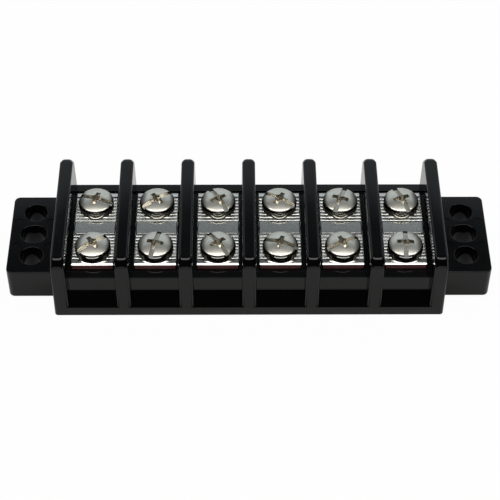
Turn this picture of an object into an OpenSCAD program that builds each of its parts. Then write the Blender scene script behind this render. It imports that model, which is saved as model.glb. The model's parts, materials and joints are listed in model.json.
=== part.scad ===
// Double-row barrier terminal strip.
// Origin: middle of the underside. +X runs along the strip, +Y to the rear row, +Z up.

/* [Strip] */
// Number of poles, one terminal plate in each
poles = 6; // [2:1:8]
// Distance between the centres of neighbouring poles
pitch = 17.46; // [16.4:0.02:24]
// Depth of the strip over its two flanges
base_depth = 41.9; // [40:0.1:52]

/* [Fins] */
// Height of the fins above the underside
fin_h = 21.8; // [19:0.1:30]
// Depth of a fin at its top
fin_depth = 41.6; // [37.6:0.1:51]
// Thickness of a fin at its top
fin_tip_t = 3.7; // [2.6:0.02:4.3]
// Thickness of a fin at the underside
fin_root_t = 4.38; // [3.8:0.02:4.9]
// Radius of a fin's two upper corners, seen from the end
fin_corner_r = 2.8; // [0.5:0.1:5]

/* [Deck] */
// Height of the deck's ledges above the underside
deck_h = 12.5; // [12.1:0.1:16]
// Depth of the deck over its ledges
deck_depth = 36.2; // [33.5:0.1:37]
// Depth of the recess between the two ledges
recess_depth = 30.8; // [28.6:0.1:32]
// Drop from the ledges down to the seat of the plates
seat_drop = 0.8; // [0.2:0.1:1.2]
// Height of the upright edge of a flange
flange_h = 3.1; // [1.5:0.1:5]
// Height at which the apron meets the upright face of the deck
apron_h = 7.8; // [5.6:0.1:9.5]

/* [Wells and coring] */
// Radial room round a plate's collar in its well
collar_clearance = 0.1; // [0.05:0.01:0.3]
// Plastic left under a well
well_floor = 3.4; // [1.2:0.1:3.8]
// Size along X of the coring pocket under each plate
pocket_w = 9; // [4:0.1:10]
// Size along Y of the coring pocket under each plate
pocket_l = 6.4; // [3:0.1:6.8]
// Plastic left between a coring pocket and the seat above it
pocket_roof = 3.1; // [2:0.1:5]
// Corner radius of a coring pocket
pocket_r = 1; // [0.3:0.1:1.4]

/* [Mounting ears] */
// Reach of an ear beyond the foot of the end fin
ear_len = 13.3; // [12:0.1:16]
// Depth of an ear
ear_depth = 29.2; // [26.4:0.1:34]
// Height of an ear's top above the underside
ear_h = 10.9; // [8:0.1:11.8]
// Gap that an ear's underside keeps above the mounting surface
ear_lift = 0.9; // [0:0.1:2]
// Radius of an ear's outer upright corners
ear_corner_r = 1.7; // [0.5:0.1:3]
// Diameter of the mounting holes
mount_d = 6.4; // [4.2:0.1:6.6]
// Distance between the holes of one ear
mount_spacing = 8.25; // [8.2:0.05:9.2]
// Distance from an ear's end to the line of its holes
mount_inset = 6.7; // [5:0.1:7]
// Length of the middle, slotted hole
mount_slot_len = 7.35; // [6.8:0.05:8]
// Diameter of the ejector marks on an ear
mark_d = 2.6; // [1:0.1:3]
// Depth of the ejector marks
mark_depth = 0.15; // [0.05:0.05:0.5]
// Distance from the line of holes to the ejector marks, along X
mark_x = 4.6; // [4.4:0.1:5]
// Distance from the middle of the ear to the ejector marks, along Y
mark_y = 4.6; // [4.2:0.1:5]

/* [Terminal plates] */
// Width of a plate, along X
plate_w = 12; // [10.4:0.1:12.2]
// Length of a plate, along Y
plate_len = 27.9; // [27:0.1:28.5]
// Thickness of a plate
plate_t = 1.75; // [1.4:0.05:2.6]
// Width of the smooth band across the middle of a plate
band_w = 4.8; // [2:0.1:5]
// Distance between the grooves of the serration
groove_pitch = 1.19; // [1:0.01:1.6]
// Width of a groove at its mouth
groove_w = 0.5; // [0.3:0.02:0.9]
// Depth of a groove
groove_depth = 0.32; // [0.1:0.02:0.5]
// Width of the plain land at each end of a plate
end_land = 1.9; // [1:0.1:3]
// Radius of a plate's upper front and rear edges
plate_edge_r = 0.5; // [0.1:0.05:0.7]
// Radius of a plate's upright corners
plate_corner_r = 0.5; // [0.2:0.05:1.5]
// Depth of the waist in each side of the smooth band
waist_depth = 0.15; // [0.1:0.05:0.8]
// Outer diameter of the drawn collars
collar_d = 7; // [6.2:0.1:8.4]
// Length of the drawn collars under the plate
collar_h = 2.2; // [1:0.1:4]

/* [Terminal screws] */
// Distance between the front and the rear row of screws
row_spacing = 16.9; // [14.2:0.1:18]
// Major diameter of the screw thread
screw_d = 4.83; // [4:0.01:5.2]
// Radial room between a screw and its plate
screw_clearance = 0.05; // [0.02:0.01:0.1]
// Length of a screw under its head
screw_len = 9.5; // [6:0.1:10]
// Length of the chamfer at a screw's tip
tip_chamfer = 0.7; // [0.3:0.1:1]
// Diameter of the pan head
head_d = 10; // [8:0.1:10.2]
// Height of the pan head
head_h = 3.5; // [3:0.1:3.8]
// Radius of the head's rim
rim_r = 1; // [0.5:0.05:1.2]
// Radius of the head's crowned top
crown_r = 13; // [11:1:60]
// Width of the straight slot
slot_w = 1.4; // [0.9:0.05:1.6]
// Depth of the straight slot at the middle
slot_depth = 1.3; // [0.8:0.05:1.8]
// Distance across the arms of the cross recess
cross_len = 5; // [4:0.1:5.6]
// Width of an arm of the cross recess
cross_w = 1.3; // [0.8:0.05:1.5]
// Depth of the cross recess
cross_depth = 2.4; // [1.9:0.1:2.7]

/* [Hidden] */
$fn = 96;
// Overlap of a cut past the face it opens through
cut = 1;
seat_h = deck_h - seat_drop;
plate_top = seat_h + plate_t;
end_fin_x = poles * pitch / 2;
body_half = end_fin_x + fin_root_t / 2;
ear_end_x = body_half + ear_len;
mount_x = ear_end_x - mount_inset;
well_d = collar_d + 2 * collar_clearance;
grooves = floor((plate_len / 2 - end_land - band_w / 2) / groove_pitch) + 1;
// Angles at which the screws stand, left as they were last turned, counted from the left
front_slot_angle = [37, 76, -55, -17, 26, 88];
rear_slot_angle = [-18, 37, -60, -31, 70, -68];

function pole_x(i) = (i - (poles + 1) / 2) * pitch;

// A tooth outline standing on the X axis: straight tapered flanks and two round upper corners
module tooth_outline(root_w, tip_w, h, r) {
    lean = atan((root_w - tip_w) / 2 / h);
    arc_x = tip_w / 2 - r * (1 - sin(lean)) / cos(lean);
    flank = [arc_x + r * cos(lean), h - r + r * sin(lean)];
    polygon([[-root_w / 2, 0], [root_w / 2, 0], flank, [arc_x, h], [-arc_x, h], [-flank.x, flank.y]]);
    for (side = [-1, 1])
        translate([side * arc_x, h - r]) circle(r = r);
}

// A rectangle about the origin with round corners
module round_rect(w, l, r) {
    square([w, l - 2 * r], center = true);
    square([w - 2 * r, l], center = true);
    for (sx = [-1, 1], sy = [-1, 1])
        translate([sx * (w / 2 - r), sy * (l / 2 - r)]) circle(r = r);
}

// Extrudes an outline drawn in Y and Z along X, centred on the origin
module along_x(length) {
    translate([-length / 2, 0, 0]) rotate([90, 0, 90]) linear_extrude(length) children();
}

// A barrier fin: its end view cut to the tapering thickness of its front view
module fin() {
    taper = (fin_root_t - fin_tip_t) / 2 / fin_h * cut;
    foot = fin_root_t / 2 + taper;
    tip = fin_tip_t / 2 - taper;
    intersection() {
        along_x(fin_root_t + 2 * cut) tooth_outline(base_depth, fin_depth, fin_h, fin_corner_r);
        translate([0, base_depth / 2 + cut, 0]) rotate([90, 0, 0]) linear_extrude(base_depth + 2 * cut)
            polygon([[-foot, -cut], [foot, -cut], [tip, fin_h + cut], [-tip, fin_h + cut]]);
    }
}

// Deck section: flanges, sloping aprons, ledges and the recess that takes the plates
module deck_outline() {
    half = [[base_depth / 2, 0], [base_depth / 2, flange_h], [deck_depth / 2, apron_h],
            [deck_depth / 2, deck_h], [recess_depth / 2, deck_h], [recess_depth / 2, seat_h]];
    polygon(concat(half, [for (i = [len(half) - 1:-1:0]) [-half[i].x, half[i].y]]));
}

// Plan of a mounting ear, drawn about the line of its holes and rounded at its outer corners
module ear_outline() {
    reach = mount_x - end_fin_x;
    translate([-reach, -ear_depth / 2]) square([reach + mount_inset - ear_corner_r, ear_depth]);
    translate([-reach, -ear_depth / 2 + ear_corner_r])
        square([reach + mount_inset, ear_depth - 2 * ear_corner_r]);
    for (side = [-1, 1])
        translate([mount_inset - ear_corner_r, side * (ear_depth / 2 - ear_corner_r)])
            circle(r = ear_corner_r);
}

// The holes of one ear: a slot between two round holes, and the shallow ejector marks beside them
module ear_cuts() {
    slot_run = mount_slot_len - mount_d;
    for (side = [-1, 1])
        translate([0, side * mount_spacing, 0]) cylinder(d = mount_d, h = ear_h + cut);
    translate([0, 0, (ear_h + cut) / 2]) cube([slot_run, mount_d, ear_h + cut], center = true);
    for (side = [-1, 1])
        translate([side * slot_run / 2, 0, 0]) cylinder(d = mount_d, h = ear_h + cut);
    for (sx = [-1, 1], sy = [-1, 1])
        translate([sx * mark_x, sy * mark_y, ear_h - mark_depth]) cylinder(d = mark_d, h = cut);
}

// One ear, to the right of the strip
module ear() {
    translate([mount_x, 0, 0]) difference() {
        translate([0, 0, ear_lift]) linear_extrude(ear_h - ear_lift) ear_outline();
        ear_cuts();
    }
}

// The wells for the collars and screw ends of one pole
module wells() {
    for (side = [-1, 1])
        translate([0, side * row_spacing / 2, well_floor]) cylinder(d = well_d, h = seat_h);
}

// The coring pocket in the underside of one pole
module pocket() {
    translate([0, 0, -cut]) linear_extrude(seat_h - pocket_roof + cut)
        round_rect(pocket_w, pocket_l, pocket_r);
}

module base() {
    color([0.09, 0.09, 0.1]) {
        difference() {
            along_x(2 * end_fin_x) deck_outline();
            for (i = [1:poles])
                translate([pole_x(i), 0, 0]) {
                    wells();
                    pocket();
                }
        }
        for (i = [0:poles])
            translate([-end_fin_x + i * pitch, 0, 0]) fin();
        ear();
        mirror([1, 0, 0]) ear();
    }
}

// End view of a plate: a flat bar with rounded upper ends and V grooves either side of the smooth band
module plate_outline() {
    half_len = plate_len / 2;
    difference() {
        union() {
            translate([-half_len, 0]) square([plate_len, plate_t - plate_edge_r]);
            translate([-half_len + plate_edge_r, 0]) square([plate_len - 2 * plate_edge_r, plate_t]);
            for (side = [-1, 1])
                translate([side * (half_len - plate_edge_r), plate_t - plate_edge_r])
                    circle(r = plate_edge_r);
        }
        for (side = [-1, 1], k = [0:grooves - 1])
            translate([side * (band_w / 2 + k * groove_pitch), plate_t])
                polygon([[-groove_w / 2, 0], [0, -groove_depth], [groove_w / 2, 0], [0, groove_w]]);
    }
}

// Plan of a plate: round corners and a shallow waist beside the smooth band
module plate_plan() {
    waist_r = (pow(band_w / 2, 2) + pow(waist_depth, 2)) / (2 * waist_depth);
    difference() {
        round_rect(plate_w, plate_len, plate_corner_r);
        for (side = [-1, 1])
            translate([side * (plate_w / 2 - waist_depth + waist_r), 0]) circle(r = waist_r);
    }
}

// The plate of pole i, with its two drawn and tapped collars
module terminal_plate(i) {
    color([0.78, 0.79, 0.77])
        translate([pole_x(i), 0, seat_h]) difference() {
            union() {
                intersection() {
                    along_x(plate_w + 2 * cut) plate_outline();
                    linear_extrude(plate_t + cut) plate_plan();
                }
                for (side = [-1, 1])
                    translate([0, side * row_spacing / 2, -collar_h])
                        cylinder(d = collar_d, h = collar_h + plate_t / 2);
            }
            for (side = [-1, 1])
                translate([0, side * row_spacing / 2, -collar_h - cut])
                    cylinder(d = screw_d + 2 * screw_clearance, h = collar_h + plate_t + 2 * cut);
        }
}

// Half section of the pan head: upright side, round rim and crowned top, tangent to one another
module head_section() {
    rim_x = head_d / 2 - rim_r;
    crown_drop = sqrt(pow(crown_r - rim_r, 2) - pow(rim_x, 2));
    rim_z = head_h - crown_r + crown_drop;
    tangent_x = rim_x * crown_r / (crown_r - rim_r);
    intersection() {
        union() {
            square([head_d / 2, rim_z]);
            square([tangent_x, head_h]);
            translate([rim_x, rim_z]) circle(r = rim_r);
        }
        translate([0, head_h - crown_r]) circle(r = crown_r, $fn = 4 * $fn);
        square([head_d / 2, head_h]);
    }
}

// Straight slot across the head and the tapering cross recess at its middle
module drive_cuts() {
    translate([0, 0, head_h + (cut - slot_depth) / 2])
        cube([head_d + 2 * cut, slot_w, slot_depth + cut], center = true);
    translate([0, 0, head_h - cross_depth]) intersection() {
        cylinder(r1 = cross_w / 2, r2 = cross_len / 2, h = cross_depth);
        union()
            for (turn = [0, 90])
                rotate([0, 0, turn]) translate([-cross_len / 2, -cross_w / 2, 0])
                    cube([cross_len, cross_w, cross_depth]);
    }
}

// A terminal screw with its head seated on the plate of pole i; row is -1 in front and 1 at the rear
module terminal_screw(i, row, angle) {
    color([0.72, 0.71, 0.66])
        translate([pole_x(i), row * row_spacing / 2, plate_top]) rotate([0, 0, angle]) {
            difference() {
                rotate_extrude() head_section();
                drive_cuts();
            }
            translate([0, 0, tip_chamfer - screw_len]) cylinder(d = screw_d, h = screw_len - tip_chamfer);
            translate([0, 0, -screw_len])
                cylinder(d1 = screw_d - 2 * tip_chamfer, d2 = screw_d, h = tip_chamfer);
        }
}

base();
for (i = [1:poles]) {
    terminal_plate(i);
    terminal_screw(i, -1, front_slot_angle[(i - 1) % len(front_slot_angle)]);
    terminal_screw(i, 1, rear_slot_angle[(i - 1) % len(rear_slot_angle)]);
}
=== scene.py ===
"""The looks of a double-row barrier terminal strip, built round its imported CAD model.

Everything is in metres, in the CAD model's own frame: +X along the strip, +Y to the rear row, +Z up.
"""

import json
import math

import bmesh
import bpy
from mathutils import Matrix, Quaternion, Vector


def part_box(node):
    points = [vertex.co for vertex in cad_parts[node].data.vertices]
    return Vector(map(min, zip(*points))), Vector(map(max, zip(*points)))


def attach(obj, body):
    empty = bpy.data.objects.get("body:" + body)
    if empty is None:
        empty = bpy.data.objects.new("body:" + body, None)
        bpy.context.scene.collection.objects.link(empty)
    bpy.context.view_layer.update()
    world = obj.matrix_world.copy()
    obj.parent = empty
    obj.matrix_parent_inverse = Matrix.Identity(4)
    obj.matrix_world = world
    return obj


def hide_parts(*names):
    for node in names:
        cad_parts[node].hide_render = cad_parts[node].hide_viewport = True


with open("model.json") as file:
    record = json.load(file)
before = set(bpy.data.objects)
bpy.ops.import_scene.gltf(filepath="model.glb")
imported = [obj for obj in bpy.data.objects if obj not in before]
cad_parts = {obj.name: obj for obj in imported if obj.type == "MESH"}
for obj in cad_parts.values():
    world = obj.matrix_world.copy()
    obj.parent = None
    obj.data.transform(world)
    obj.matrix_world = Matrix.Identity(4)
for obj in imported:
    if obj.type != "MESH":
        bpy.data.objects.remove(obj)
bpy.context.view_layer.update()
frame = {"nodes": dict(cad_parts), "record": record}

MM = 0.001

# ---------------------------------------------------------------- sizes taken from the frame
base_lo, base_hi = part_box("base")
plate_names = sorted(n for n in frame["nodes"] if n.startswith("terminal_plate_"))
screw_names = sorted(n for n in frame["nodes"] if n.startswith("screw_"))
plate_lo, plate_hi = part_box(plate_names[0])
next_plate_lo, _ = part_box(plate_names[1])
screw_lo, screw_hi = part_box(screw_names[0])

POLES = len(plate_names)
PITCH = next_plate_lo.x - plate_lo.x
BASE_DEPTH = base_hi.y - base_lo.y
FIN_H = base_hi.z
PLATE_W = plate_hi.x - plate_lo.x
PLATE_L = plate_hi.y - plate_lo.y
PLATE_TOP = plate_hi.z
HEAD_D = screw_hi.x - screw_lo.x

# ---------------------------------------------------------------- sizes of the moulded base
FIN_DEPTH = 41.6 * MM
FIN_TIP_T = 3.7 * MM
FIN_ROOT_T = 4.38 * MM
FIN_CORNER_R = 2.8 * MM
FIN_ARC_STEPS = 14
FIN_TOP_SOFT = 0.65 * MM      # softness of a fin's edges along its top
FIN_CORNER_SOFT = 1.35 * MM   # the same round its two upper corners
FIN_SIDE_SOFT = 0.35 * MM     # the same down its front and rear faces
FIN_FOOT_SOFT = 1.0 * MM      # the same at its foot
DECK_H = 12.5 * MM
DECK_DEPTH = 36.2 * MM
RECESS_DEPTH = 30.8 * MM
SEAT_H = 11.7 * MM
FLANGE_H = 3.1 * MM
APRON_H = 7.8 * MM
LEDGE_EDGE_R = 0.18 * MM
WELL_D = 7.2 * MM
WELL_FLOOR = 3.4 * MM
POCKET_W, POCKET_L, POCKET_R = 9.0 * MM, 6.4 * MM, 1.0 * MM
POCKET_TOP = 8.6 * MM
EAR_DEPTH = 29.2 * MM
EAR_H = 10.9 * MM
EAR_LIFT = 0.9 * MM
EAR_CORNER_R = 1.7 * MM
EAR_EDGE_R = 0.25 * MM
MOUNT_D = 6.4 * MM
MOUNT_SPACING = 8.25 * MM
MOUNT_INSET = 6.7 * MM
MOUNT_SLOT_LEN = 7.35 * MM
MOUNT_EDGE_R = 0.25 * MM
MARK_D, MARK_DEPTH = 2.6 * MM, 0.15 * MM
MARK_X, MARK_Y = 4.6 * MM, 4.6 * MM

# ---------------------------------------------------------------- sizes of the plates and screws
PLATE_T = 1.75 * MM
BAND_W = 4.8 * MM
GROOVE_PITCH = 1.19 * MM
GROOVE_W = 0.5 * MM
GROOVE_DEPTH = 0.32 * MM
PLATE_EDGE_R = 0.3 * MM
PLATE_ROLL_R = 2.9 * MM     # the sheared ends roll down before their edge
PLATE_ROLL = math.radians(28)
RIB_END_R = 0.3 * MM
PLATE_CORNER_R = 0.5 * MM
WAIST_DEPTH = 0.15 * MM
COLLAR_D, COLLAR_H = 7.0 * MM, 2.2 * MM
ROW_SPACING = 16.9 * MM
HOLE_D = 4.93 * MM
SCREW_D = 4.83 * MM
SCREW_LEN = 9.5 * MM
THREAD_PITCH = 0.794 * MM
THREAD_DEPTH = 0.42 * MM
TIP_CHAMFER = 0.7 * MM
HEAD_H = screw_hi.z - PLATE_TOP
RIM_R = 1.0 * MM
CROWN_R = 13.0 * MM
SLOT_W, SLOT_DEPTH = 1.4 * MM, 1.3 * MM
CROSS_LEN, CROSS_W, CROSS_DEPTH = 5.0 * MM, 1.3 * MM, 2.4 * MM
BURR_R = 0.12 * MM
END_LAND = 1.9 * MM
GROOVES = math.floor((PLATE_L / 2 - END_LAND - BAND_W / 2) / GROOVE_PITCH) + 1
RIB_CREST_R = 0.22 * MM     # softness of the smooth band's edges
RIB_CREST_TILT = math.radians(30)   # slope of a rib's round crest where it meets the flanks
RIB_ROOT = 0.1 * MM         # how far a rib is sunk into the bar under it
CROSS_FLOOR = 2.4 * MM      # length of the cross recess at its floor
CROSS_WEB = 0.45 * MM       # how far the corners between its wings are cut away at the top
SHANK_ROOT = 0.5 * MM       # how far the threaded shank reaches into the head
THREAD_AROUND, THREAD_ROWS = 40, 92

# ---------------------------------------------------------------- camera, lamps and floor
CAMERA_PLACE = (-2.98 * MM, -300.97 * MM, 338.77 * MM)
CAMERA_DIP = math.radians(48.048)
CAMERA_YAW = math.radians(0.634)
CAMERA_ROLL = math.radians(0.359)
LENS = 112.48
SOFTBOX_PLACE = (0.0, -0.095, 0.69)
SOFTBOX_W, SOFTBOX_D = 1.3, 0.22
SOFTBOX_POWER = 4.5
LAMP_TINT = (1.0, 0.98, 0.94)
ROOM_FRONT = 0.03                 # brightness of the room in front of the strip
WALL_FOOT, WALL_TOP = 0.5, 0.85   # brightness of the wall behind it, low down and at its top
CEILING = 0.11                    # brightness above that wall
WALL_HEIGHT = 0.7175              # sine of the angle up to the wall's top
FLOOR_REACH = 3.0
FLOOR_SHARE, MIRROR_SHARE = 0.97, 0.25

PAST = 1.0 * MM     # how far a cutting tool reaches past the face it opens through
ARC_STEP = math.radians(7.5)


# ================================================================ mesh tools
def mesh_object(name, verts, faces):
    """A new object of these vertices and faces, standing at the origin."""
    mesh = bpy.data.meshes.new(name)
    mesh.from_pydata([tuple(v) for v in verts], [], faces)
    made = bpy.data.objects.new(name, mesh)
    bpy.context.scene.collection.objects.link(made)
    return made


def loft(name, rings):
    """A closed solid through equal rings of points, with a flat face over each end."""
    count = len(rings[0])
    faces = [list(range(count))[::-1]]
    for k in range(len(rings) - 1):
        low, high = k * count, (k + 1) * count
        for i in range(count):
            j = (i + 1) % count
            faces.append([low + i, low + j, high + j, high + i])
    last = (len(rings) - 1) * count
    faces.append([last + i for i in range(count)])
    made = mesh_object(name, [p for ring in rings for p in ring], faces)
    face_out(made)
    return made


def face_out(piece):
    """Merges doubled points and turns every face outwards."""
    work = bmesh.new()
    work.from_mesh(piece.data)
    bmesh.ops.remove_doubles(work, verts=work.verts, dist=0.0005 * MM)
    bmesh.ops.recalc_face_normals(work, faces=work.faces)
    work.to_mesh(piece.data)
    work.free()


def arc(cx, cy, radius, start, end):
    """Points along an arc in a plane, from one angle to another."""
    steps = max(1, math.ceil(abs(end - start) / ARC_STEP - 1e-6))
    turns = [start + (end - start) * k / steps for k in range(steps + 1)]
    return [(cx + radius * math.cos(a), cy + radius * math.sin(a)) for a in turns]


def rounded(corners):
    """An outline through (x, y, radius) corners, each rounded off to its radius."""
    made = []
    for k, (x, y, radius) in enumerate(corners):
        here = Vector((x, y))
        before = (Vector(corners[k - 1][:2]) - here).normalized()
        after = (Vector(corners[(k + 1) % len(corners)][:2]) - here).normalized()
        half = before.angle(after) / 2
        if radius == 0:
            made.append((x, y))
            continue
        centre = here + (before + after).normalized() * radius / math.sin(half)
        start = here + before * radius / math.tan(half) - centre
        end = here + after * radius / math.tan(half) - centre
        first = math.atan2(start.y, start.x)
        turn = math.remainder(math.atan2(end.y, end.x) - first, math.tau)
        made += arc(centre.x, centre.y, radius, first, first + turn)
    return made


def round_rect(width, length, radius, inset=0.0):
    """The outline of a rectangle about the origin with round corners, drawn in by an inset."""
    x, y = width / 2 - radius, length / 2 - radius
    made = []
    for k, (sx, sy) in enumerate(((1, 1), (-1, 1), (-1, -1), (1, -1))):
        made += arc(sx * x, sy * y, radius - inset, k * math.pi / 2, (k + 1) * math.pi / 2)
    return made


def lathe(name, section, around=96):
    """A closed solid of revolution about Z, from (radius, height) points with both ends on the axis."""
    verts, rings = [], []
    for radius, height in section:
        count = 1 if radius == 0 else around
        rings.append((len(verts), count))
        for k in range(count):
            turn = math.tau * k / around
            verts.append((radius * math.cos(turn), radius * math.sin(turn), height))
    faces = []
    for (low, low_count), (high, high_count) in zip(rings, rings[1:]):
        for k in range(around):
            j = (k + 1) % around
            ring = [low + k % low_count, low + j % low_count, high + j % high_count, high + k % high_count]
            faces.append(list(dict.fromkeys(ring)))
    made = mesh_object(name, verts, faces)
    face_out(made)
    return made


def settle(piece):
    """Makes the result of a piece's modifiers its own mesh."""
    bpy.context.view_layer.update()
    seen = piece.evaluated_get(bpy.context.evaluated_depsgraph_get())
    shaped = bpy.data.meshes.new_from_object(seen)
    piece.modifiers.clear()
    piece.data = shaped


def carve(body, operation, *tools):
    """Joins the tools to a body or cuts them from it, and uses them up."""
    for tool in tools:
        step = body.modifiers.new("carve", "BOOLEAN")
        step.operation = operation
        step.object = tool
        step.solver = "MANIFOLD"
    settle(body)
    for tool in tools:
        bpy.data.objects.remove(tool)


def move(piece, x=0.0, y=0.0, z=0.0, turn=0.0):
    """Turns a piece's mesh about Z and shifts it; the object itself stays at the origin."""
    piece.data.transform(Matrix.Translation((x, y, z)) @ Matrix.Rotation(turn, 4, "Z"))
    return piece


def twin(piece, scale):
    """A mirrored copy of a piece, with its faces turned outwards again."""
    made = piece.copy()
    made.data = piece.data.copy()
    bpy.context.scene.collection.objects.link(made)
    made.data.transform(Matrix.Diagonal((*scale, 1)))
    made.data.flip_normals()
    return made


def shade(piece, sharp_angle=math.radians(32)):
    """Smooth shading over rounded edges, with the large flat faces kept flat."""
    piece.data.polygons.foreach_set("use_smooth", [True] * len(piece.data.polygons))
    piece.data.set_sharp_from_angle(angle=sharp_angle)
    weigh = piece.modifiers.new("flat faces stay flat", "WEIGHTED_NORMAL")
    weigh.keep_sharp = True
    settle(piece)


# ================================================================ geometry node trees
def new_tree(name, inputs):
    """An empty Geometry Nodes tree with these (name, socket type, default) inputs."""
    tree = bpy.data.node_groups.new(name, "GeometryNodeTree")
    tree.interface.new_socket("Geometry", in_out="INPUT", socket_type="NodeSocketGeometry")
    for label, kind, default in inputs:
        socket = tree.interface.new_socket(label, in_out="INPUT", socket_type=kind)
        if default is not None:
            socket.default_value = default
    tree.interface.new_socket("Geometry", in_out="OUTPUT", socket_type="NodeSocketGeometry")
    tree.nodes.new("NodeGroupInput").name = "In"
    tree.nodes.new("NodeGroupOutput").name = "Out"
    return tree


def put(tree, kind, inputs=(), **settings):
    """Adds a node; inputs maps a socket's name or number to a value or to the output that feeds it."""
    node = tree.nodes.new(kind)
    for name, value in settings.items():
        setattr(node, name, value)
    for key, value in dict(inputs).items():
        if isinstance(value, bpy.types.NodeSocket):
            tree.links.new(value, node.inputs[key])
        else:
            node.inputs[key].default_value = value
    return node


def end_tree(tree, geometry):
    """Finishes a tree with Realize Instances and Set Material."""
    given = tree.nodes["In"].outputs
    real = put(tree, "GeometryNodeRealizeInstances", {"Geometry": geometry})
    painted = put(tree, "GeometryNodeSetMaterial",
                  {"Geometry": real.outputs["Geometry"], "Material": given["Material"]})
    tree.links.new(painted.outputs["Geometry"], tree.nodes["Out"].inputs["Geometry"])
    return tree


def row_tree():
    """Repeats a piece at even steps along a straight line."""
    tree = new_tree("Row", [("Count", "NodeSocketInt", 2), ("Start", "NodeSocketVector", None),
                            ("Step", "NodeSocketVector", None), ("Material", "NodeSocketMaterial", None)])
    given = tree.nodes["In"].outputs
    line = put(tree, "GeometryNodeMeshLine",
               {"Count": given["Count"], "Start Location": given["Start"], "Offset": given["Step"]})
    copies = put(tree, "GeometryNodeInstanceOnPoints",
                 {"Points": line.outputs["Mesh"], "Instance": given["Geometry"]})
    return end_tree(tree, copies.outputs["Instances"])


def thread_tree():
    """A screw thread with a chamfered tip, as one closed skin wrapped from a flat grid."""
    tree = new_tree("Thread", [("Core radius", "NodeSocketFloat", 1.0), ("Depth", "NodeSocketFloat", 0.2),
                               ("Pitch", "NodeSocketFloat", 0.5), ("Length", "NodeSocketFloat", 5.0),
                               ("Chamfer", "NodeSocketFloat", 0.5), ("Around", "NodeSocketInt", 48),
                               ("Rows", "NodeSocketInt", 96), ("Material", "NodeSocketMaterial", None)])
    given = tree.nodes["In"].outputs

    def maths(operation, *values):
        return put(tree, "ShaderNodeMath", dict(enumerate(values)), operation=operation).outputs[0]

    grid = put(tree, "GeometryNodeMeshGrid",
               {"Size X": 1.0, "Size Y": 1.0, "Vertices X": given["Around"], "Vertices Y": given["Rows"]})
    place = put(tree, "ShaderNodeSeparateXYZ", {0: put(tree, "GeometryNodeInputPosition").outputs[0]})
    turn = maths("ADD", place.outputs["X"], 0.5)
    down = maths("MULTIPLY", maths("ADD", place.outputs["Y"], 0.5), given["Length"])
    climb = maths("ADD", maths("DIVIDE", down, given["Pitch"]), turn)
    wave = maths("PINGPONG", climb, 0.5)
    crest = put(tree, "ShaderNodeMapRange",
                {"Value": wave, "From Min": 0.05, "From Max": 0.42}).outputs["Result"]
    full = maths("ADD", maths("MULTIPLY", crest, given["Depth"]), given["Core radius"])
    left = maths("SUBTRACT", given["Length"], down)
    outer = maths("ADD", given["Core radius"], given["Depth"])
    coned = maths("ADD", maths("SUBTRACT", outer, given["Chamfer"]), left)
    radius = maths("MINIMUM", full, coned)
    inside = maths("MULTIPLY", maths("GREATER_THAN", down, 1e-7), maths("GREATER_THAN", left, 1e-7))
    radius = maths("MULTIPLY", radius, inside)
    angle = maths("MULTIPLY", turn, math.tau)
    wrapped = put(tree, "ShaderNodeCombineXYZ",
                  {"X": maths("MULTIPLY", radius, maths("COSINE", angle)),
                   "Y": maths("MULTIPLY", radius, maths("SINE", angle)),
                   "Z": maths("MULTIPLY", down, -1.0)})
    skin = put(tree, "GeometryNodeSetPosition",
               {"Geometry": grid.outputs["Mesh"], "Position": wrapped.outputs[0]})
    closed = put(tree, "GeometryNodeMergeByDistance", {"Geometry": skin.outputs[0], "Distance": 1e-6})
    return end_tree(tree, closed.outputs[0])


def grow(piece, tree, **values):
    """Runs a tree on a piece and keeps the result as its mesh."""
    step = piece.modifiers.new(tree.name, "NODES")
    step.node_group = tree
    for item in tree.interface.items_tree:
        if item.item_type == "SOCKET" and item.in_out == "INPUT" and item.name in values:
            step[item.identifier] = values[item.name]
    settle(piece)
    return piece


# ================================================================ finishes
def new_group(name, inputs, outputs):
    """An empty shader node group with these (name, socket type, default) inputs and (name, type) outputs."""
    group = bpy.data.node_groups.new(name, "ShaderNodeTree")
    for label, kind, default in inputs:
        socket = group.interface.new_socket(label, in_out="INPUT", socket_type=kind)
        if default is not None:
            socket.default_value = default
    for label, kind in outputs:
        group.interface.new_socket(label, in_out="OUTPUT", socket_type=kind)
    group.nodes.new("NodeGroupInput").name = "In"
    group.nodes.new("NodeGroupOutput").name = "Out"
    return group


def noise(tree, vector, scale, detail=3.0, roughness=0.5):
    """The value of a noise texture."""
    return put(tree, "ShaderNodeTexNoise",
               {"Vector": vector, "Scale": scale, "Detail": detail, "Roughness": roughness}).outputs[0]


def mottle_group():
    """Soft irregular patches: a mask from 0 to 1 whose contrast can be set."""
    group = new_group("Mottle", [("Vector", "NodeSocketVector", None), ("Scale", "NodeSocketFloat", 200.0),
                                 ("Contrast", "NodeSocketFloat", 0.5)], [("Mask", "NodeSocketFloat")])
    given = group.nodes["In"].outputs
    patches = noise(group, given["Vector"], given["Scale"], detail=5.0, roughness=0.6)
    edge = put(group, "ShaderNodeMath", {0: 0.5, 1: given["Contrast"]}, operation="MULTIPLY").outputs[0]
    low = put(group, "ShaderNodeMath", {0: edge, 1: 0.02}, operation="ADD").outputs[0]
    high = put(group, "ShaderNodeMath", {0: 1.0, 1: low}, operation="SUBTRACT").outputs[0]
    mask = put(group, "ShaderNodeMapRange", {"Value": patches, "From Min": low, "From Max": high})
    group.links.new(mask.outputs["Result"], group.nodes["Out"].inputs["Mask"])
    return group


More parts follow.
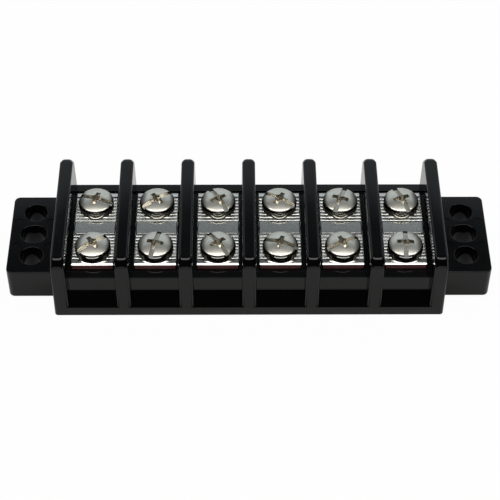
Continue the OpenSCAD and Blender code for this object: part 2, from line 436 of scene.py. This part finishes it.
def grain_group():
    """A fine surface relief: broad waviness, a fine grain and rare scratches, as one height."""
    group = new_group("Grain", [("Vector", "NodeSocketVector", None), ("Wave scale", "NodeSocketFloat", 150.0),
                                ("Grain scale", "NodeSocketFloat", 2500.0), ("Wave", "NodeSocketFloat", 0.5),
                                ("Fine", "NodeSocketFloat", 0.3), ("Scratch", "NodeSocketFloat", 0.2)],
                      [("Height", "NodeSocketFloat"), ("Scratches", "NodeSocketFloat")])
    given = group.nodes["In"].outputs

    def maths(operation, *values):
        return put(group, "ShaderNodeMath", dict(enumerate(values)), operation=operation).outputs[0]

    wave = noise(group, given["Vector"], given["Wave scale"], detail=1.0)
    fine = noise(group, given["Vector"], given["Grain scale"], detail=2.0)
    bent = put(group, "ShaderNodeVectorMath",
               {0: given["Vector"], 1: (900.0, 90.0, 300.0)}, operation="MULTIPLY").outputs[0]
    lines = noise(group, bent, 1.0, detail=2.0, roughness=0.4)
    thin = maths("SUBTRACT", 1.0, maths("MULTIPLY", maths("ABSOLUTE", maths("SUBTRACT", lines, 0.56)), 60.0))
    scratch = maths("MAXIMUM", thin, 0.0)
    height = maths("ADD", maths("MULTIPLY", wave, given["Wave"]), maths("MULTIPLY", fine, given["Fine"]))
    height = maths("SUBTRACT", height, maths("MULTIPLY", scratch, given["Scratch"]))
    group.links.new(height, group.nodes["Out"].inputs["Height"])
    group.links.new(scratch, group.nodes["Out"].inputs["Scratches"])
    return group


def new_material(name, **plain):
    """A material with one Principled shader, whose plain sockets are set from the keywords."""
    material = bpy.data.materials.new(name)
    material.use_nodes = True
    shader = material.node_tree.nodes["Principled BSDF"]
    for label, value in plain.items():
        shader.inputs[label.replace("_", " ")].default_value = value
    place = put(material.node_tree, "ShaderNodeTexCoord").outputs["Object"]
    return material, material.node_tree, shader, place


def use_group(tree, group, **inputs):
    """Places a shared node group in a material."""
    node = put(tree, "ShaderNodeGroup", node_tree=group)
    for label, value in inputs.items():
        label = label.replace("_", " ")
        if isinstance(value, bpy.types.NodeSocket):
            tree.links.new(value, node.inputs[label])
        else:
            node.inputs[label].default_value = value
    return node


def between(tree, mask, low, high):
    """A value that runs from low to high with a mask."""
    return put(tree, "ShaderNodeMapRange",
               {"Value": mask, "To Min": low, "To Max": high}).outputs["Result"]


def blend_colours(tree, mask, first, second):
    """A colour that runs from the first to the second with a mask."""
    mix = put(tree, "ShaderNodeMix", data_type="RGBA")
    for key, value in ((0, mask), (6, first), (7, second)):
        if isinstance(value, bpy.types.NodeSocket):
            tree.links.new(value, mix.inputs[key])
        else:
            mix.inputs[key].default_value = value
    return mix.outputs[2]


def bump(tree, shader, height, strength, distance):
    """Feeds a height through a Bump node to the shader's normal."""
    made = put(tree, "ShaderNodeBump", {"Height": height, "Strength": strength, "Distance": distance})
    tree.links.new(made.outputs["Normal"], shader.inputs["Normal"])


def black_moulding(mottle, grain):
    """Deep black glossy thermoplastic with a slightly uneven sheen."""
    material, tree, shader, place = new_material("black_moulding", IOR=1.5, Specular_IOR_Level=0.27)
    patches = use_group(tree, mottle, Vector=place, Scale=90.0, Contrast=0.5).outputs["Mask"]
    relief = use_group(tree, grain, Vector=place, Wave_scale=220.0, Grain_scale=2600.0, Wave=0.5,
                       Fine=0.12, Scratch=0.05)
    colour = blend_colours(tree, patches, (0.0010, 0.0010, 0.0012, 1), (0.0018, 0.0018, 0.0021, 1))
    tree.links.new(colour, shader.inputs["Base Color"])
    tree.links.new(between(tree, patches, 0.06, 0.10), shader.inputs["Roughness"])
    bump(tree, shader, relief.outputs["Height"], 0.15, 0.02 * MM)
    return material


def tinned_copper(mottle, grain):
    """Bright tin plating: pale, faintly mottled, with fine rolling marks, and painted shade on the smooth band."""
    material, tree, shader, place = new_material("tinned_copper", Metallic=1.0)
    patches = use_group(tree, mottle, Vector=place, Scale=1500.0, Contrast=0.5).outputs["Mask"]
    relief = use_group(tree, grain, Vector=place, Wave_scale=500.0, Grain_scale=6000.0, Wave=0.6,
                       Fine=0.4, Scratch=0.3)
    along = put(tree, "ShaderNodeSeparateXYZ", {0: place}).outputs["Y"]
    off_band = put(tree, "ShaderNodeMath", {0: along}, operation="ABSOLUTE").outputs[0]
    off_band = put(tree, "ShaderNodeMapRange", {"Value": off_band, "From Min": BAND_W / 2 - 0.3 * MM,
                                                "From Max": BAND_W / 2}).outputs["Result"]
    # Painted shade: the smooth band takes a darker copy of the tin colour than the ribs; its lower roughness
    # further down is its own smoother finish.
    smooth = blend_colours(tree, patches, (0.40, 0.405, 0.395, 1), (0.66, 0.655, 0.625, 1))
    ribbed = blend_colours(tree, patches, (0.50, 0.51, 0.50, 1), (0.74, 0.74, 0.71, 1))
    tree.links.new(blend_colours(tree, off_band, smooth, ribbed), shader.inputs["Base Color"])
    sheen = put(tree, "ShaderNodeMath", {0: between(tree, patches, 0.22, 0.15),
                                         1: between(tree, off_band, 0.8, 1.0)}, operation="MULTIPLY")
    tree.links.new(sheen.outputs[0], shader.inputs["Roughness"])
    bump(tree, shader, relief.outputs["Height"], 0.08, 0.02 * MM)
    return material


def bare_copper(mottle, grain):
    """The sheared ends of the plates, where the copper shows dark and dull."""
    material, tree, shader, place = new_material("bare_copper", Metallic=0.5)
    patches = use_group(tree, mottle, Vector=place, Scale=900.0, Contrast=0.4).outputs["Mask"]
    relief = use_group(tree, grain, Vector=place, Wave_scale=900.0, Grain_scale=7000.0, Wave=0.5,
                       Fine=0.5, Scratch=0.4)
    colour = blend_colours(tree, patches, (0.62, 0.25, 0.26, 1), (0.90, 0.40, 0.41, 1))
    tree.links.new(colour, shader.inputs["Base Color"])
    tree.links.new(between(tree, patches, 0.6, 0.45), shader.inputs["Roughness"])
    bump(tree, shader, relief.outputs["Height"], 0.4, 0.02 * MM)
    return material


def nickel_steel(mottle, grain):
    """Warm nickel plating: a softly shining top with turning rings, a bright side, dull recesses and painted shade
    at one end of the slot.
    """
    material, tree, shader, place = new_material("nickel_steel", Metallic=1.0)

    def maths(operation, *values):
        return put(tree, "ShaderNodeMath", dict(enumerate(values)), operation=operation).outputs[0]

    own = put(tree, "ShaderNodeAttribute", attribute_name="own_place").outputs["Vector"]
    part = put(tree, "ShaderNodeSeparateXYZ", {0: own}).outputs
    flat = put(tree, "ShaderNodeVectorMath", {0: own, 1: (1.0, 1.0, 0.0)}, operation="MULTIPLY").outputs[0]
    reach = put(tree, "ShaderNodeVectorMath", {0: flat}, operation="LENGTH").outputs["Value"]
    rings = noise(tree, put(tree, "ShaderNodeCombineXYZ", {"X": reach}).outputs[0], 5200.0, detail=1.0)
    patches = use_group(tree, mottle, Vector=place, Scale=1100.0, Contrast=0.45).outputs["Mask"]
    relief = use_group(tree, grain, Vector=place, Wave_scale=450.0, Grain_scale=5200.0, Wave=0.5,
                       Fine=0.35, Scratch=0.35)

    top = put(tree, "ShaderNodeMapRange", {"Value": reach, "From Min": HEAD_D / 2 - 0.05 * MM,
                                           "From Max": HEAD_D / 2 - 0.35 * MM}).outputs["Result"]
    in_slot = maths("MULTIPLY", maths("LESS_THAN", maths("ABSOLUTE", part["Y"]), SLOT_W / 2 + 0.01 * MM),
                    maths("GREATER_THAN", part["Z"], HEAD_H - SLOT_DEPTH - 0.02 * MM))
    fall = maths("DIVIDE", maths("MULTIPLY", reach, reach), 2 * CROWN_R)
    sunk = maths("SUBTRACT", maths("SUBTRACT", HEAD_H, fall), part["Z"])
    in_cross = maths("MULTIPLY", maths("GREATER_THAN", sunk, 0.12 * MM),
                     maths("LESS_THAN", reach, CROSS_LEN / 2 + 0.05 * MM))
    recess = maths("MAXIMUM", in_slot, in_cross)
    # Painted shade: the slot's end at +X, which lies away from the camera on every screw, is marked here to be
    # coloured near black as the shadow inside it.
    slot_end_shade = maths("MULTIPLY", in_slot, maths("GREATER_THAN", part["X"], HEAD_D / 2 - 0.75 * MM))

    height = maths("MULTIPLY", maths("MULTIPLY_ADD", rings, 0.15, relief.outputs["Height"]), top)
    colour = blend_colours(tree, patches, (0.60, 0.59, 0.53, 1), (0.76, 0.74, 0.67, 1))
    colour = blend_colours(tree, recess, colour, (0.66, 0.63, 0.56, 1))
    # Painted shade: near-black colour laid on the slot's +X end in place of the shadow there.
    colour = blend_colours(tree, slot_end_shade, colour, (0.03, 0.03, 0.03, 1))
    tree.links.new(colour, shader.inputs["Base Color"])
    sheen = maths("MULTIPLY", between(tree, patches, 0.36, 0.29), between(tree, top, 0.15, 1.0))
    sheen = maths("MULTIPLY", sheen, between(tree, recess, 1.0, 0.7))
    tree.links.new(sheen, shader.inputs["Roughness"])
    bump(tree, shader, height, 0.25, 0.02 * MM)
    return material


# ================================================================ the moulded base
def fin_chain(share):
    """The end view of a fin above its foot, from the front foot to the rear foot, as (y, z, softness).

    A share from 0 to 1 of the softness of the fin's edges is taken off the outline.
    """
    lean = math.atan((BASE_DEPTH - FIN_DEPTH) / 2 / FIN_H)
    centre_y = FIN_DEPTH / 2 - FIN_CORNER_R * (1 - math.sin(lean)) / math.cos(lean)
    rear = [(BASE_DEPTH / 2 - share * FIN_FOOT_SOFT / math.cos(lean), 0.0, FIN_FOOT_SOFT)]
    for k in range(FIN_ARC_STEPS + 1):
        along = k / FIN_ARC_STEPS
        turn = lean + (math.pi / 2 - lean) * along
        soft = FIN_SIDE_SOFT + (FIN_TOP_SOFT - FIN_SIDE_SOFT) * along
        soft += (FIN_CORNER_SOFT - (FIN_SIDE_SOFT + FIN_TOP_SOFT) / 2) * 4 * along * (1 - along)
        radius = FIN_CORNER_R - share * soft
        rear.append((centre_y + radius * math.cos(turn), FIN_H - FIN_CORNER_R + radius * math.sin(turn), soft))
    return [(-y, z, soft) for y, z, soft in rear] + rear[::-1]


def fin():
    """One barrier fin: tapering upwards, with its edges rounded off all the way round."""
    def half_thick(z):
        return (FIN_ROOT_T + (FIN_TIP_T - FIN_ROOT_T) * z / FIN_H) / 2

    steps = [math.radians(90 - 15 * k) for k in range(7)]
    rings = []
    for side, turns in ((-1, steps), (1, steps[::-1])):
        for turn in turns:
            back = 1 - math.sin(turn)
            rings.append([(side * (half_thick(z) - back * soft), y, z)
                          for y, z, soft in fin_chain(1 - math.cos(turn))])
    return loft("fin", rings)


def deck():
    """The deck between the end fins: flanges, sloping aprons, ledges and the recess for the plates."""
    half = [(BASE_DEPTH / 2, 0.0, 0.0), (BASE_DEPTH / 2, FLANGE_H, 0.3 * MM),
            (DECK_DEPTH / 2, APRON_H, 1.2 * MM), (DECK_DEPTH / 2, DECK_H, LEDGE_EDGE_R),
            (RECESS_DEPTH / 2, DECK_H, LEDGE_EDGE_R), (RECESS_DEPTH / 2, SEAT_H, 0.1 * MM)]
    outline = rounded(half + [(-y, z, r) for y, z, r in half[::-1]])
    reach = POLES * PITCH / 2
    return loft("deck", [[(x, y, z) for y, z in outline] for x in (-reach, reach)])


def ear():
    """The right mounting ear, from inside the end fin to its rounded outer corners."""
    inner = POLES * PITCH / 2
    length = base_hi.x - inner
    rings = []
    for z, inset in ([(EAR_LIFT, 0.0)] + [(EAR_H - EAR_EDGE_R * (1 - math.sin(a)), EAR_EDGE_R * (1 - math.cos(a)))
                                          for a in (math.radians(18 * k) for k in range(6))]):
        outline = round_rect(2 * length, EAR_DEPTH, EAR_CORNER_R, inset)
        rings.append([(inner + max(x, 0.0), y, z) for x, y in outline])
    return loft("ear", rings)


def mouth_cutter(stretch):
    """A cutter for a mounting hole, stretched along X into a slot, that rounds off the hole's upper rim."""
    radius = MOUNT_D / 2
    levels = [(EAR_LIFT - PAST, radius)]
    for turn in (math.radians(18 * k) for k in range(6)):
        levels.append((EAR_H - MOUNT_EDGE_R * (1 - math.sin(turn)), radius + MOUNT_EDGE_R * (1 - math.cos(turn))))
    levels.append((EAR_H + PAST, radius + MOUNT_EDGE_R))
    return loft("mouth", [[(x, y, z) for x, y in round_rect(stretch + 2 * r, 2 * r, r)] for z, r in levels])


def ear_cutters():
    """The tools that cut the holes and the ejector marks of the right ear."""
    x = base_hi.x - MOUNT_INSET
    tools = [move(mouth_cutter(MOUNT_SLOT_LEN - MOUNT_D), x)]
    tools += [move(mouth_cutter(0.01 * MM), x, side * MOUNT_SPACING) for side in (-1, 1)]
    for sx in (-1, 1):
        for sy in (-1, 1):
            mark = lathe("mark", [(0, -MARK_DEPTH), (MARK_D / 2, -MARK_DEPTH), (MARK_D / 2, PAST), (0, PAST)], 32)
            tools.append(move(mark, x + sx * MARK_X, sy * MARK_Y, EAR_H))
    return tools


def pole_cutters(row):
    """The tools that cut the wells and the coring pockets of every pole."""
    first = Vector((-(POLES - 1) / 2 * PITCH, 0, 0))
    tools = []
    for side in (-1, 1):
        well = lathe("well", [(0, WELL_FLOOR), (WELL_D / 2, WELL_FLOOR), (WELL_D / 2, SEAT_H + PAST), (0, SEAT_H + PAST)])
        move(well, y=side * ROW_SPACING / 2)
        tools.append(grow(well, row, Count=POLES, Start=first, Step=(PITCH, 0, 0)))
    outline = round_rect(POCKET_W, POCKET_L, POCKET_R)
    pocket = loft("pocket", [[(x, y, z) for x, y in outline] for z in (-PAST, POCKET_TOP)])
    tools.append(grow(pocket, row, Count=POLES, Start=first, Step=(PITCH, 0, 0)))
    return tools


def make_base(row, finish):
    """The moulded base with every edge rounded as the tool left it."""
    base = deck()
    base.name = base.data.name = "moulded_base"
    carve(base, "DIFFERENCE", *pole_cutters(row))
    fins = grow(fin(), row, Count=POLES + 1, Start=(-POLES / 2 * PITCH, 0, 0), Step=(PITCH, 0, 0))
    right = ear()
    carve(right, "DIFFERENCE", *ear_cutters())
    left = twin(right, (-1, 1, 1))
    carve(base, "UNION", fins, right, left)
    shade(base)
    base.data.materials.clear()
    base.data.materials.append(finish)
    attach(base, frame_body("base"))
    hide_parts("base")
    return base


def frame_body(node):
    """The body that a CAD node belongs to."""
    groups = frame["record"]["behaviour"]["bodies"]
    return next(body for body, members in groups.items() if node in members)


# ================================================================ the plates
def rib(name, outline, length):
    """A solid bar along X of this end view, its crest at z 0, rounded down at both ends."""
    floor = min(z for _, z in outline)
    turns = [math.radians(90 - 18 * k) for k in range(6)]
    rings = []
    for side, steps in ((-1, turns), (1, turns[::-1])):
        for turn in steps:
            x = side * (length / 2 - RIB_END_R * (1 - math.sin(turn)))
            share = 1 + RIB_END_R * (1 - math.cos(turn)) / floor
            rings.append([(x, y, floor + (z - floor) * share) for y, z in outline])
    return loft(name, rings)


def band_outline():
    """End view of the smooth band between the first two grooves: sloping flanks and soft edges."""
    top_w = BAND_W - GROOVE_W
    sunk = -GROOVE_DEPTH - RIB_ROOT
    return rounded([(-BAND_W / 2, sunk, 0), (BAND_W / 2, sunk, 0), (BAND_W / 2, -GROOVE_DEPTH, 0),
                    (top_w / 2, 0, RIB_CREST_R), (-top_w / 2, 0, RIB_CREST_R), (-BAND_W / 2, -GROOVE_DEPTH, 0)])


def rib_outline():
    """End view of a rib between two grooves: sloping flanks and a round crest."""
    top_w = GROOVE_PITCH - GROOVE_W
    radius = top_w / 2 / math.sin(RIB_CREST_TILT)
    crest = arc(0, -radius, radius, math.pi / 2 - RIB_CREST_TILT, math.pi / 2 + RIB_CREST_TILT)
    foot, sunk = GROOVE_PITCH / 2, -GROOVE_DEPTH - RIB_ROOT
    return [(-foot, sunk), (foot, sunk), (foot, -GROOVE_DEPTH), *crest, (-foot, -GROOVE_DEPTH)]


def end_land_outline():
    """End view of the land at the rear end of a plate, outside the last groove."""
    groove_y = BAND_W / 2 + (GROOVES - 1) * GROOVE_PITCH
    sunk = -PLATE_T
    tip_y, slope = PLATE_L / 2 - PLATE_EDGE_R, math.pi / 2 - PLATE_ROLL
    roll_y = tip_y - (PLATE_ROLL_R - PLATE_EDGE_R) * math.sin(PLATE_ROLL)
    tip_z = (PLATE_ROLL_R - PLATE_EDGE_R) * math.cos(PLATE_ROLL) - PLATE_ROLL_R
    edge = arc(tip_y, tip_z, PLATE_EDGE_R, 0, slope)
    roll = arc(roll_y, -PLATE_ROLL_R, PLATE_ROLL_R, slope, math.pi / 2)[1:]
    return [(groove_y, sunk), (PLATE_L / 2, sunk), *edge, *roll,
            (groove_y + GROOVE_W / 2, 0), (groove_y, -GROOVE_DEPTH)]


def plate_prism(name, length, low, high):
    """A prism with the plate's outline: round corners and a waist beside the smooth band."""
    waist_r = ((BAND_W / 2) ** 2 + WAIST_DEPTH ** 2) / (2 * WAIST_DEPTH)
    half_turn = math.asin(BAND_W / 2 / waist_r)
    centre_x = PLATE_W / 2 - WAIST_DEPTH + waist_r
    corner = PLATE_CORNER_R
    quarter = arc(PLATE_W / 2 - corner, length / 2 - corner, corner, 0, math.pi / 2)
    waist = arc(centre_x, 0, waist_r, math.pi + half_turn, math.pi - half_turn)
    right = [(x, -y) for x, y in quarter[::-1]] + waist + quarter
    outline = right + [(-x, -y) for x, y in right]
    return loft(name, [[(x, y, z) for x, y in outline] for z in (low, high)])


def make_plate(row, tin, copper):
    """A terminal plate at x 0: serrated either side of a smooth band, with two tapped collars beneath."""
    plate = plate_prism("plate", PLATE_L - END_LAND, SEAT_H, PLATE_TOP - GROOVE_DEPTH)
    parts = [move(rib("band", band_outline(), PLATE_W - 2 * WAIST_DEPTH), z=PLATE_TOP)]
    for side in (-1, 1):
        bar = rib("rib", rib_outline(), PLATE_W)
        first = BAND_W / 2 + GROOVE_PITCH / 2
        parts.append(grow(bar, row, Count=GROOVES - 1, Start=(0, side * first, PLATE_TOP),
                          Step=(0, side * GROOVE_PITCH, 0)))
        land = move(rib("land", end_land_outline(), PLATE_W), z=PLATE_TOP)
        parts.append(land if side > 0 else move(land, turn=math.pi))
        collar = lathe("collar", [(0, SEAT_H - COLLAR_H), (COLLAR_D / 2, SEAT_H - COLLAR_H),
                                  (COLLAR_D / 2, SEAT_H + PLATE_T / 2), (0, SEAT_H + PLATE_T / 2)])
        parts.append(move(collar, y=side * ROW_SPACING / 2))
    carve(plate, "UNION", *parts)
    carve(plate, "INTERSECT", plate_prism("outline", PLATE_L, SEAT_H - COLLAR_H - PAST, PLATE_TOP + PAST))
    holes = []
    for side in (-1, 1):
        low, high, wide = SEAT_H - COLLAR_H - PAST, PLATE_TOP + PAST, HOLE_D / 2
        holes.append(move(lathe("hole", [(0, low), (wide, low), (wide, high), (0, high)]),
                          y=side * ROW_SPACING / 2))
    carve(plate, "DIFFERENCE", *holes)
    shade(plate)
    plate.data.materials.clear()
    for finish in (tin, copper):
        plate.data.materials.append(finish)
    cut_end = PLATE_L / 2 - 0.02 * MM
    for face in plate.data.polygons:
        face.material_index = int(abs(face.center.y) > cut_end and abs(face.normal.y) > 0.95)
    return plate


def lay_plates(plate):
    """One plate in each pole, each its own piece."""
    for name in plate_names:
        low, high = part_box(name)
        laid = bpy.data.objects.new(name.replace("terminal_plate", "serrated_plate"), plate.data.copy())
        bpy.context.scene.collection.objects.link(laid)
        move(laid, x=(low.x + high.x) / 2)
        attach(laid, frame_body(name))
        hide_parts(name)
    bpy.data.objects.remove(plate)


# ================================================================ the screws
def head():
    """The pan head about the Z axis, its underside at z 0: upright side, round rim and crowned top."""
    rim_x = HEAD_D / 2 - RIM_R
    drop = math.sqrt((CROWN_R - RIM_R) ** 2 - rim_x ** 2)
    rim_z = HEAD_H - CROWN_R + drop
    lean = math.asin(rim_x / (CROWN_R - RIM_R))
    foot = 0.12 * MM
    crown = [(CROWN_R * math.sin(lean * k / 8), HEAD_H - CROWN_R + CROWN_R * math.cos(lean * k / 8))
             for k in range(7, 0, -1)]
    section = [(0, 0), (HEAD_D / 2 - foot, 0), (HEAD_D / 2, foot)]
    section += arc(rim_x, rim_z, RIM_R, 0, math.pi / 2 - lean) + crown + [(0, HEAD_H)]
    return lathe("head", section, 128)


def slot_cutter():
    """The straight slot, right across the head."""
    outline = [(-SLOT_W / 2, HEAD_H - SLOT_DEPTH), (SLOT_W / 2, HEAD_H - SLOT_DEPTH),
               (SLOT_W / 2, HEAD_H + PAST), (-SLOT_W / 2, HEAD_H + PAST)]
    reach = HEAD_D / 2 + PAST
    return loft("slot", [[(x, y, z) for y, z in outline] for x in (-reach, reach)])


def cross_cutter():
    """The cross recess, its four wings narrowing towards its floor."""
    rings = []
    for z, reach, wide, web in ((HEAD_H - CROSS_DEPTH, CROSS_FLOOR / 2, CROSS_W * 0.36, 0.1 * MM),
                                (HEAD_H, CROSS_LEN / 2, CROSS_W / 2, CROSS_WEB),
                                (HEAD_H + PAST, CROSS_LEN / 2 + PAST, CROSS_W / 2, CROSS_WEB)):
        ring = []
        for k in range(4):
            turn = Matrix.Rotation(k * math.pi / 2, 2)
            ring += [turn @ Vector(p) for p in ((reach, -wide), (reach, wide), (wide + web, wide),
                                                (wide, wide + web))]
        rings.append([(p.x, p.y, z) for p in ring])
    return loft("cross", rings)


def make_screw(thread, finish):
    """A terminal screw standing on the origin, its head above z 0 and its slot along X."""
    screw = head()
    shank = mesh_object("shank", [], [])
    grow(shank, thread, **{"Core radius": SCREW_D / 2 - THREAD_DEPTH, "Depth": THREAD_DEPTH,
                           "Pitch": THREAD_PITCH, "Length": SCREW_LEN + SHANK_ROOT, "Chamfer": TIP_CHAMFER,
                           "Around": THREAD_AROUND + 1, "Rows": THREAD_ROWS})
    move(shank, z=SHANK_ROOT)
    carve(screw, "UNION", shank)
    carve(screw, "DIFFERENCE", slot_cutter(), cross_cutter())
    burr = screw.modifiers.new("soft edges", "BEVEL")
    burr.width, burr.segments = BURR_R, 3
    burr.limit_method, burr.angle_limit = "ANGLE", math.radians(50)
    settle(screw)
    shade(screw)
    screw.data.materials.clear()
    screw.data.materials.append(finish)
    own = screw.data.attributes.new("own_place", "FLOAT_VECTOR", "POINT")
    own.data.foreach_set("vector", [c for v in screw.data.vertices for c in v.co])
    return screw


def slot_turn(name):
    """The angle at which a CAD screw's slot stands, read from the gap it leaves in the head's rim."""
    low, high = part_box(name)
    centre = (low + high) / 2
    around = [v.co - centre for v in frame["nodes"][name].data.vertices if v.co.z > high.z - 0.9 * SLOT_DEPTH]
    turns = sorted(math.atan2(p.y, p.x) % math.pi for p in around if p.xy.length > 0.9 * HEAD_D / 2)
    pairs = zip(turns, turns[1:] + [turns[0] + math.pi])
    return max((after - before, (before + after) / 2) for before, after in pairs)[1]


def drive_screws(screw):
    """One screw at each place, turned as its CAD node is, each on its own body."""
    for name in screw_names:
        low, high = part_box(name)
        driven = bpy.data.objects.new(name.replace("screw", "terminal_screw"), screw.data.copy())
        bpy.context.scene.collection.objects.link(driven)
        move(driven, (low.x + high.x) / 2, (low.y + high.y) / 2, high.z - HEAD_H, slot_turn(name))
        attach(driven, frame_body(name))
        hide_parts(name)
    bpy.data.objects.remove(screw)


# ================================================================ floor, lamps and camera
def pale(tree, shader):
    """Mixes a shader with plain white, much of it for the camera's rays and less for mirrored ones."""
    path = put(tree, "ShaderNodeLightPath").outputs
    part = put(tree, "ShaderNodeMath", {0: path["Is Camera Ray"], 1: FLOOR_SHARE}, operation="MULTIPLY").outputs[0]
    for ray in ("Is Glossy Ray", "Is Transmission Ray"):
        part = put(tree, "ShaderNodeMath", {0: path[ray], 1: MIRROR_SHARE, 2: part},
                   operation="MULTIPLY_ADD").outputs[0]
    white = put(tree, "ShaderNodeEmission", {"Strength": 1.0}).outputs[0]
    mix = put(tree, "ShaderNodeMixShader", {0: part, 1: shader, 2: white})
    return mix.outputs[0]


def lay_floor():
    """A wide pale floor that keeps the object's shadow."""
    reach = FLOOR_REACH
    floor = mesh_object("floor", [(-reach, -reach, 0), (reach, -reach, 0), (reach, reach, 0), (-reach, reach, 0)],
                        [[0, 1, 2, 3]])
    material = bpy.data.materials.new("pale_floor")
    material.use_nodes = True
    tree = material.node_tree
    shader = tree.nodes["Principled BSDF"]
    shader.inputs["Base Color"].default_value = (0.86, 0.86, 0.86, 1)
    shader.inputs["Roughness"].default_value = 0.9
    shader.inputs["Specular IOR Level"].default_value = 0.0
    output = tree.nodes["Material Output"]
    tree.links.new(pale(tree, shader.outputs[0]), output.inputs["Surface"])
    floor.data.materials.append(material)


def light_world():
    """A studio: a lit wall behind, a dimmer ceiling, a dark room in front, white where the camera looks."""
    world = bpy.data.worlds.new("studio")
    world.use_nodes = True
    bpy.context.scene.world = world
    tree = world.node_tree
    way = put(tree, "ShaderNodeTexCoord").outputs["Generated"]
    parts = put(tree, "ShaderNodeSeparateXYZ", {0: way}).outputs

    def fade(value, start, end, low, high, kind="LINEAR"):
        return put(tree, "ShaderNodeMapRange", {"Value": value, "From Min": start, "From Max": end,
                   "To Min": low, "To Max": high}, interpolation_type=kind).outputs["Result"]

    wall = fade(parts["Z"], 0.0, WALL_HEIGHT, WALL_FOOT, WALL_TOP)
    above = fade(parts["Z"], WALL_HEIGHT - 0.006, WALL_HEIGHT + 0.006, 0.0, 1.0, "SMOOTHSTEP")
    rear = put(tree, "ShaderNodeMix", {0: above, 2: wall, 3: CEILING}, data_type="FLOAT").outputs[0]
    behind = fade(parts["Y"], -0.05, 0.2, 0.0, 1.0, "SMOOTHSTEP")
    room = put(tree, "ShaderNodeMix", {0: behind, 2: ROOM_FRONT, 3: rear}, data_type="FLOAT").outputs[0]
    path = put(tree, "ShaderNodeLightPath").outputs
    strength = put(tree, "ShaderNodeMix", {0: path["Is Camera Ray"], 2: room, 3: 1.0}, data_type="FLOAT")
    back = tree.nodes["Background"]
    back.inputs["Color"].default_value = (0.9, 0.98, 1.03, 1)
    tree.links.new(strength.outputs[0], back.inputs["Strength"])


def hang_lamp(name, place, aim, width, depth, power):
    """A soft area lamp at a place, facing an aim point, with its width along X."""
    data = bpy.data.lights.new(name, "AREA")
    data.shape, data.size, data.size_y, data.energy = "RECTANGLE", width, depth, power
    data.color = LAMP_TINT
    lamp = bpy.data.objects.new(name, data)
    bpy.context.scene.collection.objects.link(lamp)
    lamp.location = place
    lamp.rotation_mode = "QUATERNION"
    lamp.rotation_quaternion = (Vector(aim) - Vector(place)).to_track_quat("-Z", "Y")
    return lamp


def set_camera():
    """A long lens looking down on the front of the strip."""
    data = bpy.data.cameras.new("camera")
    data.lens, data.sensor_width = LENS, 36.0
    camera = bpy.data.objects.new("camera", data)
    bpy.context.scene.collection.objects.link(camera)
    camera.location = CAMERA_PLACE
    ahead = Vector((math.sin(CAMERA_YAW) * math.cos(CAMERA_DIP), math.cos(CAMERA_YAW) * math.cos(CAMERA_DIP),
                    -math.sin(CAMERA_DIP)))
    camera.rotation_mode = "QUATERNION"
    camera.rotation_quaternion = ahead.to_track_quat("-Z", "Y") @ Quaternion((0, 0, 1), CAMERA_ROLL)
    bpy.context.scene.camera = camera


# ================================================================ the scene
def main():
    set_camera()
    light_world()
    lay_floor()
    hang_lamp("long softbox", SOFTBOX_PLACE, (0, 0, 0), SOFTBOX_W, SOFTBOX_D, SOFTBOX_POWER)
    mottle, grain = mottle_group(), grain_group()
    row = row_tree()
    make_base(row, black_moulding(mottle, grain))
    lay_plates(make_plate(row, tinned_copper(mottle, grain), bare_copper(mottle, grain)))
    drive_screws(make_screw(thread_tree(), nickel_steel(mottle, grain)))
    bpy.context.scene.view_settings.view_transform = "Standard"


main()
